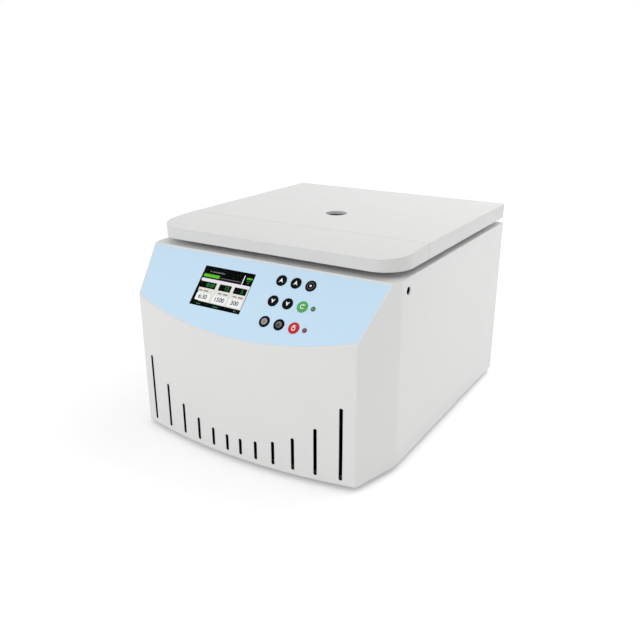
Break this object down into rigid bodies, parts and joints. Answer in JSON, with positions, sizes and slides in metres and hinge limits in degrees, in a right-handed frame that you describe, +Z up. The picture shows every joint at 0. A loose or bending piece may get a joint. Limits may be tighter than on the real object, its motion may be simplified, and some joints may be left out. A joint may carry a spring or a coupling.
{
  "type": "cytocentrifuge",
  "caption": "Bench-top cytocentrifuge: bow-fronted case with a sloping keypad panel, hinged lid with a viewport, and a bowl whose rotor carries tilting slide holders with sample cups.",
  "frame": {"origin": "bench level under the middle of the instrument's outline", "axes": "+Z up, +Y towards the rear panel, +X to the right seen from the front"},
  "size_m": [0.432, 0.523, 0.3226],
  "materials": {
    "case_paint": "satin light grey-white paint",
    "rear_paint": "satin light grey-white paint",
    "base_steel": "plain zinc-plated sheet",
    "foot_rubber": "black rubber",
    "gasket_rubber": "dark grey rubber",
    "lid_cover": "satin light grey-white moulding",
    "liner_sheet": "satin",
    "panel_blue": "pale blue printed sheet",
    "clear_pane": "clear",
    "module_black": "black",
    "board_green": "green laminate",
    "bowl_steel": "satin stainless steel",
    "motor_grey": "dark grey paint",
    "shaft_steel": "ground steel",
    "rotor_aluminium": "machined and anodised",
    "knob_black": "black",
    "fitting_steel": "zinc-plated",
    "lock_plastic": "black",
    "holder_steel": "stainless clip with a white moulded chamber and a glass slide",
    "fan_black": "black",
    "socket_black": "black",
    "key_black": "near-black",
    "key_green": "green",
    "key_red": "red",
    "lamp_grey": "dark translucent"
  },
  "bodies": {
    "casing": {"outer_casing": "case_paint", "rear_panel": "rear_paint", "base_tray": "base_steel", "rubber_feet": "foot_rubber", "panel_overlay": "panel_blue", "display_window": "clear_pane", "display_module": "module_black", "control_board": "board_green", "chamber_bowl": "bowl_steel", "chamber_gasket": "gasket_rubber", "guard_ring": "base_steel", "motor_body": "motor_grey", "motor_mount": "base_steel", "vibration_dampers": "foot_rubber", "latch_housing": "lock_plastic", "latch_solenoid": "fitting_steel", "release_tube": "lock_plastic", "hinge_fixed_leaves": "fitting_steel", "fan_frame": "fan_black", "power_inlet": "socket_black", "switch_housing": "socket_black", "power_board": "board_green", "lamp_run": "lamp_grey", "lamp_stop": "lamp_grey"},
    "lid": {"lid_shell": "lid_cover", "lid_front_cap": "lid_cover", "lid_liner": "liner_sheet", "viewport_window": "clear_pane", "lid_striker": "fitting_steel", "hinge_moving_leaves": "fitting_steel"},
    "rotor": {"drive_shaft": "shaft_steel", "rotor_head": "rotor_aluminium", "rotor_knob": "knob_black"},
    "holder_1": {"slide_holder_1": "holder_steel"},
    "holder_2": {"slide_holder_2": "holder_steel"},
    "holder_3": {"slide_holder_3": "holder_steel"},
    "holder_4": {"slide_holder_4": "holder_steel"},
    "holder_5": {"slide_holder_5": "holder_steel"},
    "holder_6": {"slide_holder_6": "holder_steel"},
    "holder_7": {"slide_holder_7": "holder_steel"},
    "holder_8": {"slide_holder_8": "holder_steel"},
    "bolt": {"latch_bolt": "shaft_steel"},
    "rocker": {"power_rocker": "socket_black"},
    "fan": {"fan_impeller": "fan_black"},
    "body_key_speed_up": {"key_speed_up": "key_black"},
    "body_key_time_up": {"key_time_up": "key_black"},
    "body_key_record": {"key_record": "key_black"},
    "body_key_speed_down": {"key_speed_down": "key_black"},
    "body_key_time_down": {"key_time_down": "key_black"},
    "body_key_start": {"key_start": "key_green"},
    "body_key_rotor": {"key_rotor": "key_black"},
    "body_key_menu": {"key_menu": "key_black"},
    "body_key_stop": {"key_stop": "key_red"}
  },
  "joints": [
    {"name": "lid_hinge", "type": "hinge", "parent": "casing", "child": "lid", "pos_m": [0, 0.2525, 0.29463], "axis": [-1, 0, 0], "range_deg": [0, 75]},
    {"name": "rotor_spin", "type": "hinge", "parent": "casing", "child": "rotor", "pos_m": [0, 0.034, 0.187], "axis": [0, 0, 1], "continuous": true},
    {"name": "holder_1_swing", "type": "hinge", "parent": "rotor", "child": "holder_1", "pos_m": [0.112, 0.034, 0.192], "axis": [0, 1, 0], "range_deg": [0, 20]},
    {"name": "holder_2_swing", "type": "hinge", "parent": "rotor", "child": "holder_2", "pos_m": [0.0792, 0.1132, 0.192], "axis": [-0.7071, 0.7071, 0], "range_deg": [0, 20]},
    {"name": "holder_3_swing", "type": "hinge", "parent": "rotor", "child": "holder_3", "pos_m": [0, 0.146, 0.192], "axis": [-1, 0, 0], "range_deg": [0, 20]},
    {"name": "holder_4_swing", "type": "hinge", "parent": "rotor", "child": "holder_4", "pos_m": [-0.0792, 0.1132, 0.192], "axis": [-0.7071, -0.7071, 0], "range_deg": [0, 20]},
    {"name": "holder_5_swing", "type": "hinge", "parent": "rotor", "child": "holder_5", "pos_m": [-0.112, 0.034, 0.192], "axis": [0, -1, 0], "range_deg": [0, 20]},
    {"name": "holder_6_swing", "type": "hinge", "parent": "rotor", "child": "holder_6", "pos_m": [-0.0792, -0.0452, 0.192], "axis": [0.7071, -0.7071, 0], "range_deg": [0, 20]},
    {"name": "holder_7_swing", "type": "hinge", "parent": "rotor", "child": "holder_7", "pos_m": [0, -0.078, 0.192], "axis": [1, 0, 0], "range_deg": [0, 20]},
    {"name": "holder_8_swing", "type": "hinge", "parent": "rotor", "child": "holder_8", "pos_m": [0.0792, -0.0452, 0.192], "axis": [0.7071, 0.7071, 0], "range_deg": [0, 20]},
    {"name": "bolt_slide", "type": "slide", "parent": "casing", "child": "bolt", "axis": [1, 0, 0], "range_m": [0, 0.014]},
    {"name": "power_rocker_tilt", "type": "hinge", "parent": "casing", "child": "rocker", "pos_m": [0.128, 0.2535, 0.104], "axis": [-1, 0, 0], "range_deg": [0, 9]},
    {"name": "fan_spin", "type": "hinge", "parent": "casing", "child": "fan", "pos_m": [-0.118, 0.2295, 0.112], "axis": [0, 1, 0], "continuous": true},
    {"name": "key_speed_up_press", "type": "slide", "parent": "casing", "child": "body_key_speed_up", "axis": [0, 0.7373, -0.6756], "range_m": [0, 0.0008], "stiffness_N_per_m": 1500},
    {"name": "key_time_up_press", "type": "slide", "parent": "casing", "child": "body_key_time_up", "axis": [0, 0.7373, -0.6756], "range_m": [0, 0.0008], "stiffness_N_per_m": 1500},
    {"name": "key_record_press", "type": "slide", "parent": "casing", "child": "body_key_record", "axis": [0, 0.7373, -0.6756], "range_m": [0, 0.0008], "stiffness_N_per_m": 1500},
    {"name": "key_speed_down_press", "type": "slide", "parent": "casing", "child": "body_key_speed_down", "axis": [0, 0.7373, -0.6756], "range_m": [0, 0.0008], "stiffness_N_per_m": 1500},
    {"name": "key_time_down_press", "type": "slide", "parent": "casing", "child": "body_key_time_down", "axis": [0, 0.7373, -0.6756], "range_m": [0, 0.0008], "stiffness_N_per_m": 1500},
    {"name": "key_start_press", "type": "slide", "parent": "casing", "child": "body_key_start", "axis": [0, 0.7373, -0.6756], "range_m": [0, 0.0008], "stiffness_N_per_m": 1500},
    {"name": "key_rotor_press", "type": "slide", "parent": "casing", "child": "body_key_rotor", "axis": [0, 0.7373, -0.6756], "range_m": [0, 0.0008], "stiffness_N_per_m": 1500},
    {"name": "key_menu_press", "type": "slide", "parent": "casing", "child": "body_key_menu", "axis": [0, 0.7373, -0.6756], "range_m": [0, 0.0008], "stiffness_N_per_m": 1500},
    {"name": "key_stop_press", "type": "slide", "parent": "casing", "child": "body_key_stop", "axis": [0, 0.7373, -0.6756], "range_m": [0, 0.0008], "stiffness_N_per_m": 1500}
  ]
}
